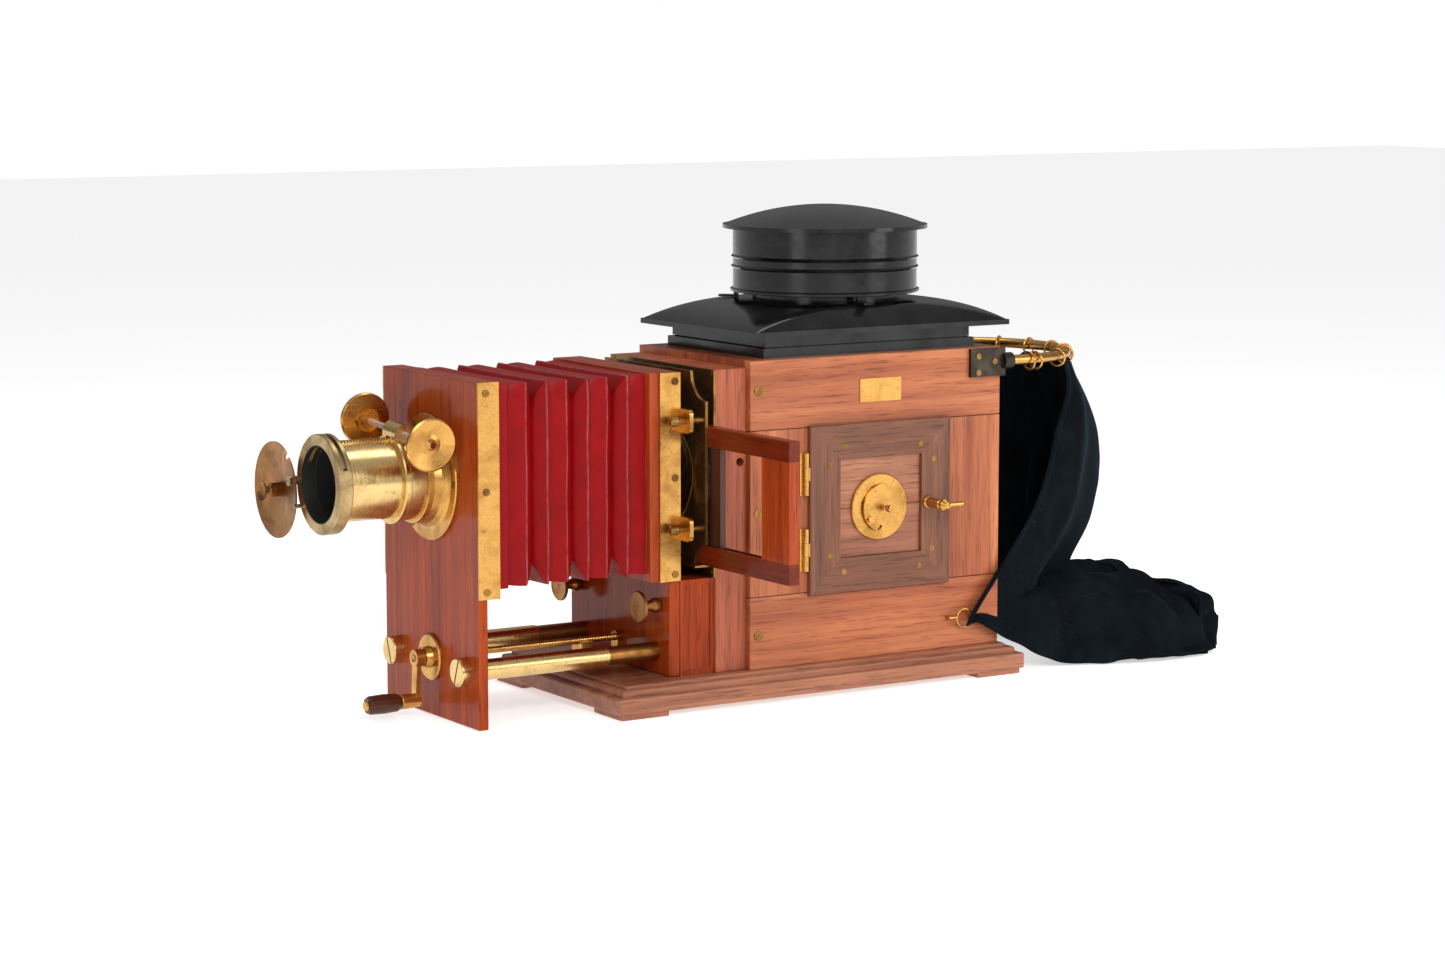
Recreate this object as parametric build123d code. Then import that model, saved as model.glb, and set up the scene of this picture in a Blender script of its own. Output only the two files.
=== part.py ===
from build123d import *
import math
import os

# Magic lantern: mahogany lamp house on a plinth, condenser box, sprung slide stage, leather
# bellows, screw-focused front panel and a rack-focused brass lens with a pivoting flasher disc.
#
# Working frame while modelling: x = 0 at the lamp house front, the lens towards -X, the door side
# at -Y, z = 0 on top of the plinth. Every node is then moved so that the stored origin is the
# centre of the plinth slab's underside.

# ---- driving dimensions (mm) -------------------------------------------------------------------
BODY_LENGTH = 240.0
BODY_WIDTH = 168.0
BODY_HEIGHT = 242.6
WALL = 9.0

SLAB_LENGTH = 382.6
SLAB_WIDTH = 205.0
SLAB_THICK = 12.7
MOULDING_THICK = 7.6
REAR_OVERHANG = 14.2
FOOT_SIDE = 42.0
FOOT_THICK = 4.5

LENS_Z = 160.0
STAGE_Z = 75.0
STAGE_TOP = 237.0
FRAME_OPENING = 57.0

PANEL_X = -235.5
PANEL_THICK = 8.0
PANEL_HALF = 76.4
PANEL_BOTTOM = -24.0
PANEL_TOP = 238.0
CLEAT_WIDTH = 20.0
FRONT_FRAME_THICK = 10.0

BOARD_X = -69.2
BOARD_THICK = 9.9
BOARD_HALF = 76.8

PLATE_X = -30.1
PLATE_THICK = 1.7
PLATE_HALF = 78.7

REAR_FRAME_X = -85.5
REAR_FRAME_BACK = -59.3
REAR_FRAME_HALF = 75.4

TUBE_Y = 56.0
TUBE_Z = 18.0
TUBE_R = 7.2
SLEEVE_R = 8.0
SLEEVE_END = -114.5
SCREW_Z = 21.0
SCREW_R = 2.9
RUNNING = 0.06
FOCUS_BACK = 34.0

DRAW_R = 29.5
DRAW_FRONT = -317.5
JACKET_R = 31.6
JACKET_FRONT = -272.0
HOOD_R = 38.0
HOOD_FRONT = -328.7

RACK_MODULE = 0.8
PINION_TEETH = 12
RACK_PITCH_LINE = 31.6
PINION_X = -264.0
LENS_ROLL = 4.7

PIVOT_OFFSET = 33.0
FLASHER_R = 37.0
FLASHER_REST = -18.5

CARRIER_BACK = -30.6
CARRIER_FRONT = -40.5
CARRIER_Z0 = 86.0
CARRIER_Z1 = 194.2
CARRIER_NEAR = -200.9
CARRIER_LENGTH = 330.0
CARRIER_RAIL = 15.5
CARRIER_BLOCK = 38.3

DOOR = (53.2, 187.5, 54.5, 189.2)
DOOR_FRAME_WIDTH = 28.0
DOOR_FACE = -89.2
HINGE_X = 50.6
HINGE_Y = -86.5

SPY_X = 119.0
SPY_Z = 121.0
SPY_COVER = (121.4, 120.3)
SPY_PIVOT = (108.5, 111.9)

RAIL_Z = 231.0
RAIL_R = 4.2
RAIL_BOW = 86.0
RAIL_CENTRE = 262.0

THROAT = (35.0, 205.0, 58.0)
COWL_CENTRE = 125.0
DRUM_R = 74.5

HALF_BODY = BODY_WIDTH / 2
SLAB_X1 = BODY_LENGTH + REAR_OVERHANG
SLAB_X0 = SLAB_X1 - SLAB_LENGTH
ORIGIN_SHIFT = Pos(-(SLAB_X0 + SLAB_X1) / 2, 0, SLAB_THICK + MOULDING_THICK)

NEAR = Rot(90, 0, 0)
FAR = Rot(-90, 0, 0)
FRONT = Rot(0, -90, 0)
SIDES = ((-1, NEAR), (1, FAR))


# ---- shape helpers -----------------------------------------------------------------------------
def block(x0, x1, y0, y1, z0, z1):
    return Pos((x0 + x1) / 2, (y0 + y1) / 2, (z0 + z1) / 2) * Box(x1 - x0, y1 - y0, z1 - z0)


def eased(x0, x1, y0, y1, z0, z1, radius=0.8):
    """A board with its arrises taken off."""
    board = block(x0, x1, y0, y1, z0, z1)
    return fillet(board.edges(), radius)


def rod_x(x0, x1, radius, y=0.0, z=0.0):
    return Pos((x0 + x1) / 2, y, z) * Rot(0, 90, 0) * Cylinder(radius, x1 - x0)


def rod_y(y0, y1, radius, x=0.0, z=0.0):
    return Pos(x, (y0 + y1) / 2, z) * Rot(90, 0, 0) * Cylinder(radius, y1 - y0)


def rod_z(z0, z1, radius, x=0.0, y=0.0):
    return Pos(x, y, (z0 + z1) / 2) * Cylinder(radius, z1 - z0)


def tube_x(x0, x1, outer, inner, y=0.0, z=0.0):
    return rod_x(x0, x1, outer, y, z) - rod_x(x0 - 1, x1 + 1, inner, y, z)


def turned(points):
    """A solid of revolution about the X axis from (x, radius) points."""
    return revolve(make_face(Polyline(*points, close=True)), Axis.X)


def turned_at(points, y, z):
    return Pos(0, y, z) * turned(points)


def group(parts):
    """Separate solids kept together in one node."""
    solids = []
    for part in parts:
        solids.extend(part.solids())
    return Compound(children=solids)


def slotted(radius, height, slot=0.0):
    """A screw head standing on z = 0, slotted across its top."""
    head = Pos(0, 0, height / 2) * Cylinder(radius, height)
    slot = slot or radius * 0.28
    return head - Pos(0, 0, height) * Box(3 * radius, slot, height * 0.9)


def head_at(x, y, z, facing, radius, height, turn=0.0):
    return Pos(x, y, z) * facing * Rot(0, 0, turn) * slotted(radius, height)


def about_lens(shape, degrees=LENS_ROLL):
    """Rolls a shape drawn around the lens axis, which passes through y = 0, z = 0 there."""
    return Pos(0, 0, LENS_Z) * Rot(degrees, 0, 0) * shape


# ---- plinth ------------------------------------------------------------------------------------
def plinth():
    half = SLAB_WIDTH / 2
    z0 = -MOULDING_THICK - SLAB_THICK
    slab = eased(SLAB_X0, SLAB_X1, -half, half, z0, -MOULDING_THICK, 1.6)
    inset, step = 5.9, 6.0
    low = block(SLAB_X0 + inset, SLAB_X1 - inset, -half + inset, half - inset, -MOULDING_THICK, -2.4)
    low = fillet(low.edges().group_by(Axis.Z)[-1], 2.4)
    inset += step
    top = block(SLAB_X0 + inset, SLAB_X1 - inset, -half + inset, half - inset, -2.4, 0)
    top = chamfer(top.edges().group_by(Axis.Z)[-1], 0.6)
    # Each foot is let into a shallow corner rebate, so the slab's underside stands clear between them.
    feet = []
    margin, rebate = 3.0, 0.5
    reach = margin + FOOT_SIDE + 0.2
    for side_x, edge_x in ((1, SLAB_X0), (-1, SLAB_X1)):
        for side_y, edge_y in ((1, -half), (-1, half)):
            corner = Pos(edge_x, edge_y, z0) * Box(2 * reach, 2 * reach, 2 * rebate)
            slab -= corner
            x, y = edge_x + side_x * (margin + FOOT_SIDE / 2), edge_y + side_y * (margin + FOOT_SIDE / 2)
            foot = Pos(x, y, z0 + (rebate - FOOT_THICK) / 2) * Box(FOOT_SIDE, FOOT_SIDE, FOOT_THICK + rebate)
            feet.append(chamfer(foot.edges().group_by(Axis.Z)[0], 0.8))
    return {"plinth": group([slab, low + top]), "plinth_feet": group(feet)}


# ---- lamp house --------------------------------------------------------------------------------
def lamp_house():
    outer, inner = HALF_BODY, HALF_BODY - WALL
    low, high, front, back = 57.0, 187.8, 62.0, 178.0
    near = [
        eased(0, BODY_LENGTH, -outer, -inner, 0, low),
        eased(0, BODY_LENGTH, -outer, -inner, high, BODY_HEIGHT),
        eased(0, front, -outer, -inner, low, high),
        eased(back, BODY_LENGTH, -outer, -inner, low, high),
    ]
    x0, x1, half = THROAT
    top = block(WALL, BODY_LENGTH, -inner, inner, BODY_HEIGHT - WALL, BODY_HEIGHT)
    top -= block(x0, x1, -half, half, BODY_HEIGHT - 2 * WALL, BODY_HEIGHT + WALL)
    wall = block(0, WALL, -inner, inner, 0, BODY_HEIGHT)
    wall -= rod_x(-1, WALL + 1, 56.5, 0, LENS_Z)
    return {
        "side_near": group(near),
        "side_far": eased(0, BODY_LENGTH, inner, outer, 0, BODY_HEIGHT),
        "body_top": top,
        "front_wall": wall,
    }


def lining():
    """Folded sheet-iron heat shield, open at both ends, cut for the door and the chimney."""
    sheet, half, top, x0, x1 = 0.8, 72.0, 226.0, 14.0, 232.0
    shell = block(x0, x1, -half, half, 0, top)
    shell -= block(x0 - 1, x1 + 1, -half + sheet, half - sheet, -1, top - sheet)
    shell -= block(60, 180, -half - 1, -half + 2, 56, 189)
    shell -= block(THROAT[0], THROAT[1], -THROAT[2], THROAT[2], top - 2, top + 1)
    return {"heat_lining": shell}


def burner():
    """Limelight burner: tray, pillar with its jet arm, and the lime."""
    tray = block(40, 200, -50, 50, 0, 9) - block(41, 199, -49, 49, 1.2, 10)
    pillar = rod_z(1.2, 152, 4, 140) + rod_z(1.2, 10, 12, 140)
    pillar += rod_x(112, 140, 3, 0, 146) + rod_x(92, 140, 3, 0, 126) + rod_z(120, 132, 7, 92)
    lime = rod_z(132, 164, 9, 92)
    return {"lamp_tray": tray, "burner": group([pillar, lime])}


def case_screws():
    """All the slotted heads on the standing parts."""
    heads = []
    for side, facing in SIDES:
        for z in (219.0, 123.0, 26.5):
            heads.append(head_at(7.4, side * HALF_BODY, z, facing, 3.8, 0.7, 60))
        for z in (230.0, 155.3, 80.5):
            heads.append(head_at(-64.0, side * 77.2, z, facing, 2.9, 0.7, 35))
        for x, z in ((215.6, 235.9), (231.8, 231.0), (215.7, 222.7)):
            heads.append(head_at(x, side * 87.5, z, facing, 2.4, 0.7, 20))
    for y, z in ((-74.0, 234.0), (0.0, 234.0), (74.0, 234.0), (-74.0, 79.6), (74.0, 79.6)):
        heads.append(head_at(PLATE_X, y, z, FRONT, 2.3, 0.6, 30 + y))
    return {"case_screws": group(heads)}


def blank_plate():
    y = -HALF_BODY
    plate = block(102.5, 141.8, y - 0.8, y, 204.8, 223.3)
    plate = fillet(plate.edges().filter_by(Axis.Y), 1.0)
    for x in (105.2, 139.1):
        plate += rod_y(y - 1.3, y, 0.8, x, 214.0)
    return {"blank_plate": plate}


# ---- condenser ---------------------------------------------------------------------------------
def condenser():
    front = PLATE_X + PLATE_THICK
    box = eased(front, 0, -PLATE_HALF, PLATE_HALF, 0, STAGE_TOP)
    cavity = PLATE_HALF - WALL
    box -= block(front - 1, 1, -cavity, cavity, 84, STAGE_TOP - WALL)
    box -= block(front - 1, 1, -cavity, cavity, 7, STAGE_Z)
    box -= rod_y(-PLATE_HALF - 1, -cavity + 1, 3.4, -6.0, 164)
    plate = block(PLATE_X, front, -PLATE_HALF, PLATE_HALF, STAGE_Z + 0.2, STAGE_TOP)
    plate -= rod_x(PLATE_X - 1, front + 1, 54, 0, LENS_Z)
    plate += block(-47, PLATE_X + 0.5, -PLATE_HALF, PLATE_HALF, 84.2, 85.7)
    cell = tube_x(front, 4.0, 56.0, 54.0, 0, LENS_Z)
    cell += tube_x(-14.0, -11.0, 55.0, 51.0, 0, LENS_Z)
    lenses = [plano_convex(front + 1.4, -14.2, 53.9), plano_convex(2.6, -10.8, 53.9)]
    return {
        "condenser_box": box,
        "condenser_plate": group([plate, cell]),
        "condenser_lenses": group(lenses),
    }


def plano_convex(flat_x, dome_x, radius):
    """A lens with its flat face at flat_x and the crown of its curved face at dome_x."""
    edge = flat_x + math.copysign(2.0, dome_x - flat_x)
    arc = RadiusArc((edge, radius), (dome_x, 0), arc_radius(edge, dome_x, radius))
    outline = arc + Polyline((dome_x, 0), (flat_x, 0), (flat_x, radius), (edge, radius))
    return Pos(0, 0, LENS_Z) * revolve(make_face(outline), Axis.X)


def arc_radius(edge, crown, radius):
    """Signed radius of the arc that starts square to the axis at the crown."""
    rise = abs(crown - edge)
    size = (radius ** 2 + rise ** 2) / (2 * rise)
    return size if crown > edge else -size


# ---- slide stage -------------------------------------------------------------------------------
PIN_Y = 84.0
PIN_Z = (199.6, 116.0)
PIN_R = 2.2


def stage():
    back = REAR_FRAME_BACK
    frame = eased(REAR_FRAME_X, back, -REAR_FRAME_HALF, REAR_FRAME_HALF, STAGE_Z, STAGE_TOP)
    frame -= block(-90, -50, -FRAME_OPENING, FRAME_OPENING, 103, 217)
    frame -= block(-78.6, -77.6, -90, 90, STAGE_TOP - 0.7, STAGE_TOP + 1)
    plates = []
    for side, _ in SIDES:
        plate = mirrored_block(side, -77.4, -59.1, REAR_FRAME_HALF, 77.2, STAGE_Z, STAGE_TOP - 0.3)
        for z in PIN_Z:
            lug = mirrored_block(side, -59.9, -56.6, 75.5, 92.0, z - 9.2, z + 9.2)
            lug = fillet(lug.edges().filter_by(Axis.X).sort_by(Axis.Y)[:: side][-2:], 4.0)
            plate += lug
            plate -= rod_x(-70, -50, PIN_R + RUNNING, side * PIN_Y, z)
        plates.append(plate)
    return {"rear_bellows_frame": frame, "stage_side_plates": group(plates)}


def mirrored_block(side, x0, x1, y_in, y_out, z0, z1):
    y0, y1 = sorted((side * y_in, side * y_out))
    return block(x0, x1, y0, y1, z0, z1)


def under_stage():
    back = BOARD_X + BOARD_THICK
    board = eased(BOARD_X, back, -BOARD_HALF, BOARD_HALF, 0, STAGE_Z, 1.6)
    for side in (-1, 1):
        board -= rod_x(-80, -50, TUBE_R, side * TUBE_Y, TUBE_Z)
        board -= rod_x(-80, -50, 3.0 + RUNNING, side * THUMB_Y, THUMB_Z)
    board -= rod_x(-80, -50, 4.2, 0, SCREW_Z)
    front = PLATE_X + PLATE_THICK
    sides = []
    for side in (-1, 1):
        panel = mirrored_block(side, back, front, 68.5, 76.5, 0, STAGE_Z)
        panel -= mirrored_block(side, back + 3.5, front - 3.5, 75.5, 78, 4, STAGE_Z - 4)
        sides.append(panel)
    sides.append(block(back, front, -68.5, 68.5, 66, STAGE_Z))
    return {"tube_board": group([board, *sides])}


PRESSURE_HALF = 87.5
PRESSURE_FRONT = -43.2
PRESSURE_BACK = -40.8
PRESSURE_Z = (86.1, 236.0)
SCALLOP = 22.0


def pressure_plate():
    """Sprung plate that clamps the carrier, with scalloped corners and four guide pins."""
    z0, z1 = PRESSURE_Z
    plate = block(PRESSURE_FRONT, PRESSURE_BACK, -PRESSURE_HALF, PRESSURE_HALF, z0, z1)
    for side in (-1, 1):
        for z, size in ((z1, SCALLOP), (z0, 0.75 * SCALLOP)):
            plate -= rod_x(-50, -30, size, side * PRESSURE_HALF, z)
    plate -= rod_x(-50, -30, 54, 0, LENS_Z)
    parts = [plate]
    for side in (-1, 1):
        for z in PIN_Z:
            x = PRESSURE_FRONT
            profile = ((x, 0), (x, PIN_R), (-66, PIN_R), (-66, 3.2), (-67, 3.8), (-72, 3.8), (-73.2, 2.6),
                       (-73.2, 0))
            parts.append(turned_at(profile, side * PIN_Y, z))
    springs = [Pos(0, side * 66.0, 0) * bow_spring() for side in (-1, 1)]
    return {"pressure_plate": group(parts), "pressure_springs": group(springs)}


def bow_spring():
    """Leaf spring bowed between the bellows frame and the pressure plate."""
    thick, bow, reach = 0.5, 15.0, 40.0
    near = []
    for i in range(13):
        t = i / 6 - 1
        near.append((PRESSURE_FRONT - 0.3 - bow * t * t, LENS_Z - 4 + reach * t))
    far = [(x - thick, z) for x, z in reversed(near)]
    return extrude(Plane.XZ * make_face(Polyline(*near, *far, close=True)), amount=4.0, both=True)


# ---- slide carrier -----------------------------------------------------------------------------
HOLDER_Y = (-101.0, 71.0)
HOLDER_STILE = 15.0
HOLDER_MID = 6.0
HOLDER_X = (-38.0, -33.1)


def carrier():
    far = CARRIER_NEAR + CARRIER_LENGTH
    z0, z1, rail = CARRIER_Z0, CARRIER_Z1, CARRIER_RAIL
    groove, clear = 2.6, 0.3
    x0, x1 = HOLDER_X
    parts = []
    for a, b in ((z0, z0 + rail), (z1 - rail, z1)):
        bar = eased(CARRIER_FRONT, CARRIER_BACK, CARRIER_NEAR, far, a, b, 0.6)
        slot_z = (b - groove, b + 1) if a == z0 else (a - 1, a + groove)
        bar -= block(x0 - clear, x1 + clear, CARRIER_NEAR + CARRIER_BLOCK, far - CARRIER_BLOCK, *slot_z)
        parts.append(bar)
    for y0 in (CARRIER_NEAR, far - CARRIER_BLOCK):
        parts.append(block(CARRIER_FRONT + 0.5, CARRIER_BACK - 0.5, y0 + 0.6, y0 + CARRIER_BLOCK,
                           z0 + rail, z1 - rail))
    holder = holder_frame(z0 + rail - groove + clear, z1 - rail + groove - clear)
    return {"carrier_frame": group(parts), **holder}


def holder_frame(z0, z1):
    """Push-pull holder with two lantern slides side by side."""
    y0, y1 = HOLDER_Y
    window = (y1 - y0 - 2 * HOLDER_STILE - HOLDER_MID) / 2
    frame = block(HOLDER_X[0], HOLDER_X[1], y0, y1, z0, z1)
    panes = []
    lip, glass = 1.5, 2.4
    mid_x = sum(HOLDER_X) / 2
    rail = 4.5
    for start in (y0 + HOLDER_STILE, y1 - HOLDER_STILE - window):
        frame -= block(-45, -25, start, start + window, z0 + rail, z1 - rail)
        frame -= block(mid_x - glass / 2, mid_x + glass / 2, start - lip, start + window + lip,
                       z0 + rail - lip, z1 - rail + lip)
        panes.append(block(mid_x - glass / 2, mid_x + glass / 2, start - lip, start + window + lip,
                           z0 + rail - lip, z1 - rail + lip))
    return {"slide_holder": frame, "lantern_slides": group(panes)}


# ---- focusing front ----------------------------------------------------------------------------
def focus_front():
    back = PANEL_X + PANEL_THICK
    edge = PANEL_HALF - CLEAT_WIDTH
    boards = [eased(PANEL_X, back, -edge, edge, PANEL_BOTTOM, PANEL_TOP, 0.5)]
    for side in (-1, 1):
        y0, y1 = sorted((side * edge, side * PANEL_HALF))
        boards.append(eased(PANEL_X, back, y0, y1, PANEL_BOTTOM, PANEL_TOP, 0.5))
    cutters = [rod_x(PANEL_X - 1, back + 1, SLEEVE_R, side * TUBE_Y, TUBE_Z) for side in (-1, 1)]
    cutters.append(rod_x(PANEL_X - 1, back + 1, 4.0, 0, SCREW_Z))
    cutters.append(rod_x(PANEL_X - 1, back + 1, JACKET_R, 0, LENS_Z))
    cutters.append(rack_clearance(PANEL_X - 1, back + 1))
    for cutter in cutters:
        boards = [board - cutter for board in boards]
    frame_back = back + FRONT_FRAME_THICK
    frame = eased(back, frame_back, -PANEL_HALF, PANEL_HALF, STAGE_Z, PANEL_TOP, 0.5)
    frame -= block(-240, -200, -FRAME_OPENING, FRAME_OPENING, 103, 217)
    strips = []
    for side in (-1, 1):
        strips.append(mirrored_block(side, PANEL_X + 0.2, frame_back, PANEL_HALF, 78.0, STAGE_Z, PANEL_TOP))
    return {
        "front_panel": group(boards),
        "front_bellows_frame": frame,
        "panel_edge_strips": group(strips),
        **panel_fittings(),
    }


def rack_clearance(x0, x1):
    return about_lens(block(x0, x1, -3.7, 3.7, JACKET_R - 4, RACK_PITCH_LINE + 1.7))


def panel_fittings():
    sleeves, ends = [], []
    for side in (-1, 1):
        sleeves.append(tube_x(PANEL_X, SLEEVE_END, SLEEVE_R, TUBE_R + RUNNING, side * TUBE_Y, TUBE_Z))
        end = Pos(PANEL_X, side * TUBE_Y, TUBE_Z) * FRONT * Rot(0, 0, 20 * side) * end_screw()
        ends.append(end)
    boss = ((PANEL_X, 0), (PANEL_X, 18.1), (-237.3, 18.1), (-238.3, 17.0), (-238.3, 8.5), (-243, 7.2),
            (-243, 0))
    rose = turned_at(boss, 0, SCREW_Z) - rod_x(-250, -230, SCREW_R + RUNNING, 0, SCREW_Z)
    heads = []
    for side, facing in SIDES:
        for z in (230.0, 156.0, 80.5):
            heads.append(head_at(-228.6, side * 78.0, z, facing, 2.9, 0.7, 15))
        heads.append(head_at(-238.3, side * 13.0, SCREW_Z + side * 3.0, FRONT, 2.2, 0.6, 40))
    for angle in (182, 62, -58):
        y = 44.6 * math.cos(math.radians(angle))
        z = 44.6 * math.sin(math.radians(angle))
        heads.append(head_at(-238.6, y, LENS_Z + z, FRONT, 2.6, 0.6, angle))
    return {
        "sleeve_tubes": group(sleeves + ends),
        "crank_escutcheon": rose,
        "panel_screws": group(heads),
    }


def end_screw():
    """Large slotted head that closes a sleeve tube."""
    head = Pos(0, 0, 4.2) * Cylinder(10.9, 8.4)
    head = fillet(head.edges().group_by(Axis.Z)[-1], 1.0)
    return head - Pos(0, 0, 8.4) * Box(30, 1.8, 3.6)


def guide_tubes():
    """Fixed inner tubes, the half nut under the screw and the post that steadies its tail."""
    front = PANEL_X + FOCUS_BACK + 1.5
    back = BOARD_X + BOARD_THICK
    tubes = [tube_x(front, back, TUBE_R, TUBE_R - 1.0, s * TUBE_Y, TUBE_Z) for s in (-1, 1)]
    bore = rod_x(-120, -60, SCREW_R + RUNNING, 0, SCREW_Z)
    nut = block(-107.7, -97.9, -8, 8, 0, SCREW_Z - 0.4) - bore
    post = block(-73.6, BOARD_X, -5, 5, 0, SCREW_Z) + rod_x(-73.6, BOARD_X, 5.6, 0, SCREW_Z)
    return {"inner_tubes": group(tubes), "screw_posts": group([nut, post - bore])}


# ---- crank -------------------------------------------------------------------------------------
CRANK_THROW = 33.5
CRANK_TILT = 5.0
GRIP_X = (-289.6, -262.4)


def crank():
    axis = Pos(0, 0, SCREW_Z)
    screw = rod_x(-251.5, -36.5, SCREW_R, 0, SCREW_Z) + rod_x(-227.1, -223, 5.5, 0, SCREW_Z)
    hub = rod_x(-251, -243.4, 6.6) - rod_x(-260, -240, SCREW_R)
    throw = -CRANK_THROW
    arm = extrude(Plane.YZ.offset(-250) * make_face(
        Polyline((-4.6, 0), (-3.4, throw), (3.4, throw), (4.6, 0), close=True)), amount=3.6)
    arm -= rod_x(-260, -240, SCREW_R)
    arm = hub + arm + rod_x(-250.4, -245.6, 5.0, 0, throw)
    spindle = ((-250, 0), (-250, 5.4), (-260.8, 5.8), (-262, 4.6), (-262, 2.0), (-290, 2.0), (-290, 4.0),
               (-291.6, 3.2), (-291.6, 0))
    arm += turned_at(spindle, 0, throw)
    x0, x1 = GRIP_X
    grip = ((x0, 2.0 + RUNNING), (x0, 6.0), (x0 + 2.5, 7.2), (x0 + 14, 7.6), (x1 - 3, 7.0), (x1, 5.8),
            (x1, 2.0 + RUNNING))
    turn = axis * Rot(CRANK_TILT, 0, 0)
    return {
        "lead_screw": screw,
        "crank_arm": turn * arm,
        "crank_grip": turn * turned_at(grip, 0, throw),
    }


# ---- lens --------------------------------------------------------------------------------------
def lens_mount():
    bell = ((PANEL_X, JACKET_R), (PANEL_X, 48.4), (-237.8, 48.4), (-238.6, 47.6), (-238.6, 40.5), (-240.0, 38.2),
            (-243.5, 36.0), (-249, 34.6), (-253, 34.2), (-253.6, 33.4), (-253.6, JACKET_R))
    flange = about_lens(turned(bell)) - rack_clearance(-260, -230)
    profile = ((-222, DRAW_R + RUNNING), (-222, JACKET_R), (-267, JACKET_R), (-267, 33.2), (-267.8, 33.6),
               (-271.2, 33.6), (JACKET_FRONT, 33.0), (JACKET_FRONT, DRAW_R + RUNNING))
    jacket = about_lens(turned(profile)) - rack_clearance(-280, -210)
    jacket -= about_lens(rod_y(-3.7, 3.7, GEAR_CLEARANCE_R, PINION_X, PINION_H))
    return {"lens_flange": flange, "lens_jacket": group([jacket, pinion_box()])}


PINION_R = RACK_MODULE * PINION_TEETH / 2
PINION_H = RACK_PITCH_LINE + PINION_R
GEAR_CLEARANCE_R = 6.2


def pinion_box():
    x0, x1, half = PINION_X - 7.0, PINION_X + 7.4, 11.0
    box = block(x0, x1, -half, half, 28, PINION_H) + rod_y(-half, half, 7.0, PINION_X, PINION_H)
    box -= rod_x(-300, -200, JACKET_R)
    box -= rod_x(JACKET_FRONT - 1, -267, 33.6)
    box -= rod_y(-4.4, 4.4, GEAR_CLEARANCE_R, PINION_X, PINION_H)
    box -= block(x0 - 1, x1 + 1, -3.7, 3.7, 20, RACK_PITCH_LINE + 1.7)
    box -= rod_y(-20, 20, PIN_R + RUNNING, PINION_X, PINION_H)
    return about_lens(box)


def draw_tube():
    profile = ((DRAW_FRONT, 28.0), (DRAW_FRONT, DRAW_R), (-215, DRAW_R), (-215, 28.0))
    tube = about_lens(turned(profile))
    front, rear = plano_convex(-303.0, -310.5, 27.95), plano_convex(-224.0, -216.5, 27.95)
    return {
        "drawtube": group([tube, rack()]),
        "hood_ring": hood_ring(),
        "lens_elements": group([front, rear]),
    }


def rack():
    """Straight rack along the top of the draw tube; a gap stands under the pinion at rest."""
    pitch = math.pi * RACK_MODULE
    x0, x1 = -313.0, -219.0
    root = RACK_PITCH_LINE - 1.25 * RACK_MODULE
    tip = RACK_PITCH_LINE + RACK_MODULE
    body = block(x0, x1, -3.0, 3.0, 28.6, root)
    half_tip, half_root = 0.16 * pitch, 0.34 * pitch
    count = int((x1 - x0) / pitch) + 1
    first = PINION_X + (math.ceil((x0 - PINION_X) / pitch) + 0.5) * pitch
    teeth = []
    for i in range(count):
        x = first + i * pitch
        if x + half_root < x1 and x - half_root > x0:
            tooth = Polyline((x - half_root, root - 0.1), (x - half_tip, tip), (x + half_tip, tip),
                             (x + half_root, root - 0.1), close=True)
            teeth.append(extrude(Plane.XZ * make_face(tooth), amount=3.0, both=True))
    body = body + teeth
    return about_lens(body - rod_x(-400, -100, DRAW_R))


def hood_ring():
    rear = DRAW_FRONT
    profile = ((HOOD_FRONT + 0.6, HOOD_R), (HOOD_FRONT, HOOD_R - 0.6), (HOOD_FRONT, 29.0), (rear, 29.0),
               (rear, 36.6), (rear - 1.2, HOOD_R))
    ring = turned(profile)
    slot = tube_x(-325.0, -321.6, HOOD_R + 2, 28.0)
    wedge = block(-330, -315, -40, 40, 14.0, 40)
    ring -= slot & wedge
    stud = rod_x(-336.4, HOOD_FRONT + 1, PIN_R, PIVOT_OFFSET, 0) + rod_x(-338.2, -336.2, 4.1, PIVOT_OFFSET, 0)
    stud += rod_x(-332.2, HOOD_FRONT + 1, 3.4, PIVOT_OFFSET, 0)
    stud -= block(-339, -337.6, PIVOT_OFFSET - 6, PIVOT_OFFSET + 6, -0.6, 0.6)
    pin = rod_x(-337.0, HOOD_FRONT + 1, STOP_R, *stop_place())
    return Pos(0, 0, LENS_Z) * (ring + stud + pin)


# ---- flasher -----------------------------------------------------------------------------------
STOP_R = 1.6
STOP_DISTANCE = 20.0
STOP_ANGLE = -110.0


def polar(distance, degrees):
    return distance * math.cos(math.radians(degrees)), distance * math.sin(math.radians(degrees))


def stop_place():
    y, z = polar(STOP_DISTANCE, STOP_ANGLE)
    return PIVOT_OFFSET + y, z


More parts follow.
